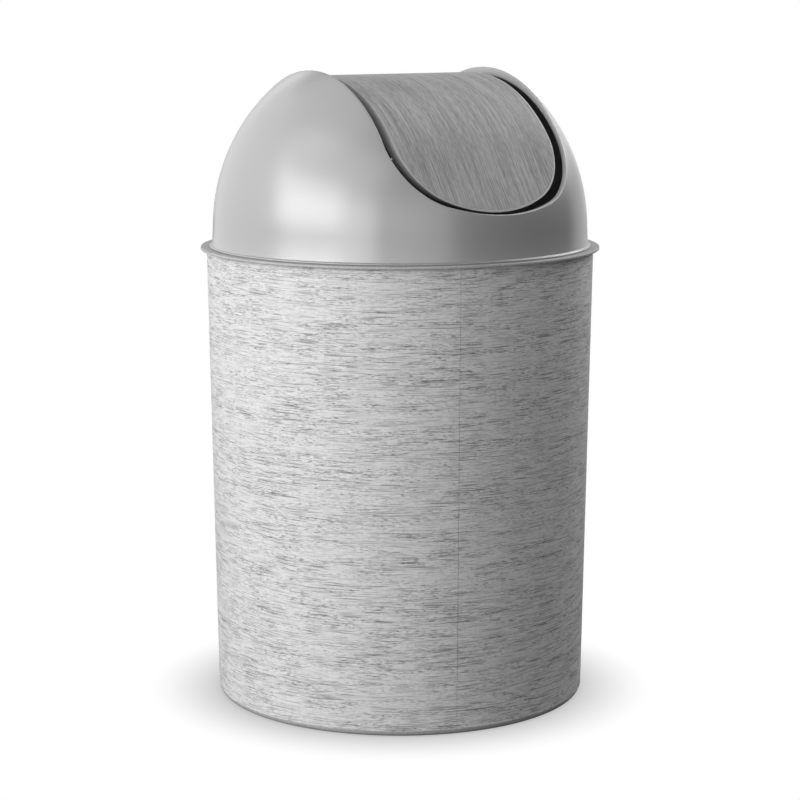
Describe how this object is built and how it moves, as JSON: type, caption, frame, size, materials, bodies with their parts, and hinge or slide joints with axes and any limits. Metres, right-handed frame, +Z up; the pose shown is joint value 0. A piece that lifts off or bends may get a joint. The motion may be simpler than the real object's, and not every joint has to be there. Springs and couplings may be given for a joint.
{
  "type": "countertop trash can with swing lid",
  "caption": "Small round trash can with a tapered tub, a lift-off dome lid and an arched flap that swings both ways between two humps.",
  "frame": {"origin": "centre of the foot ring, on the surface that the can stands on", "axes": "+Z up; the flap's front faces -Y and its pivot lies along X"},
  "size_m": [0.1904, 0.1904, 0.301],
  "materials": {
    "tub_plastic": "satin light grey moulded plastic",
    "streaked_wrap": "satin film printed with fine level grey streaks on light grey",
    "lid_plastic": "satin light grey moulded plastic",
    "flap_plastic": "satin light grey moulded plastic",
    "woodgrain_film": "satin film printed with grey straight wood grain running front to back"
  },
  "bodies": {
    "tub_body": {"tub": "tub_plastic", "tub_wrap": "streaked_wrap"},
    "lid_body": {"dome_lid": "lid_plastic"},
    "flap_body": {"swing_flap": "flap_plastic", "flap_film": "woodgrain_film"}
  },
  "joints": [
    {"name": "lid_lift", "type": "slide", "parent": "tub_body", "child": "lid_body", "axis": [0, 0, 1], "range_m": [0, 0.12]},
    {"name": "flap_swing", "type": "hinge", "parent": "lid_body", "child": "flap_body", "pos_m": [0, 0, 0.28796], "axis": [1, 0, 0], "range_deg": [-80, 80]}
  ]
}
